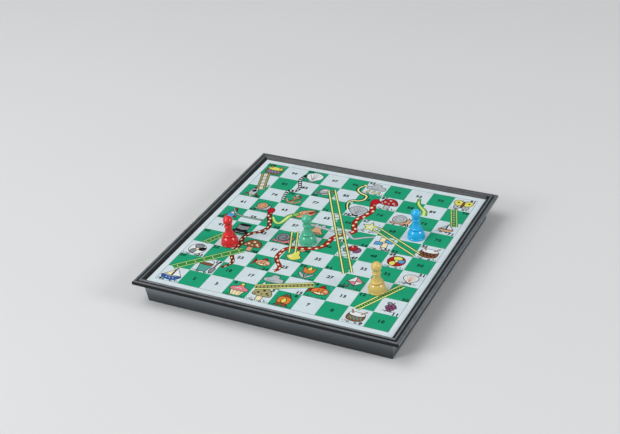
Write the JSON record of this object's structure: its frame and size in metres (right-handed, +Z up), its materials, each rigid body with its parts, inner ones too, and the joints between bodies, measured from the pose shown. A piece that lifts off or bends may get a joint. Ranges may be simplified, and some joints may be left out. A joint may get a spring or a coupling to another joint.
{
  "type": "snakes and ladders board",
  "caption": "Square folding board of snakes and ladders in two hollow half cases that close into a storage box, with magnetic pawns standing on the squares.",
  "frame": {"origin": "on the table, under the middle of the fold line, with the board open flat", "axes": "+X along the first row of squares, +Y from the first row to the last, +Z up"},
  "size_m": [0.2506, 0.2506, 0.0504],
  "materials": {
    "case_plastic": "moulded, satin",
    "plate_steel": "rolled, tinned",
    "printed_sheet": "printed film, semi-gloss",
    "link_plastic": "moulded, satin",
    "pin_steel": "drawn wire",
    "magnet": "nickel plated",
    "red_plastic": "moulded, gloss",
    "green_plastic": "moulded, gloss",
    "yellow_plastic": "moulded, gloss",
    "blue_plastic": "moulded, gloss"
  },
  "bodies": {
    "front_half": {"front_case": "case_plastic", "front_steel_plate": "plate_steel", "front_printed_sheet": "printed_sheet", "front_hinge_pin_left": "pin_steel", "front_hinge_pin_right": "pin_steel", "front_closure_magnet_left": "magnet", "front_closure_magnet_right": "magnet"},
    "hinge_links": {"hinge_link_left": "link_plastic", "hinge_link_right": "link_plastic"},
    "rear_half": {"rear_case": "case_plastic", "rear_steel_plate": "plate_steel", "rear_printed_sheet": "printed_sheet", "rear_hinge_pin_left": "pin_steel", "rear_hinge_pin_right": "pin_steel", "rear_closure_magnet_left": "magnet", "rear_closure_magnet_right": "magnet"},
    "red_piece": {"red_pawn": "red_plastic", "red_pawn_magnet": "magnet"},
    "green_piece": {"green_pawn": "green_plastic", "green_pawn_magnet": "magnet"},
    "yellow_piece": {"yellow_pawn": "yellow_plastic", "yellow_pawn_magnet": "magnet"},
    "blue_piece": {"blue_pawn": "blue_plastic", "blue_pawn_magnet": "magnet"}
  },
  "joints": [
    {"name": "link_fold", "type": "hinge", "parent": "front_half", "child": "hinge_links", "pos_m": [0, -0.00315, 0.003], "axis": [-1, 0, 0], "range_deg": [0, 90]},
    {"name": "rear_fold", "type": "hinge", "parent": "hinge_links", "child": "rear_half", "pos_m": [0, 0.00315, 0.003], "axis": [-1, 0, 0], "range_deg": [0, 90]},
    {"name": "red_lift", "type": "slide", "parent": "front_half", "child": "red_piece", "axis": [0, 0, 1], "range_m": [0, 0.04]},
    {"name": "green_lift", "type": "slide", "parent": "front_half", "child": "green_piece", "axis": [0, 0, 1], "range_m": [0, 0.04]},
    {"name": "yellow_lift", "type": "slide", "parent": "front_half", "child": "yellow_piece", "axis": [0, 0, 1], "range_m": [0, 0.04]},
    {"name": "blue_lift", "type": "slide", "parent": "rear_half", "child": "blue_piece", "axis": [0, 0, 1], "range_m": [0, 0.04]}
  ],
  "couplings": [
    {"joint": "rear_fold", "follows": "link_fold", "ratio": 1}
  ]
}
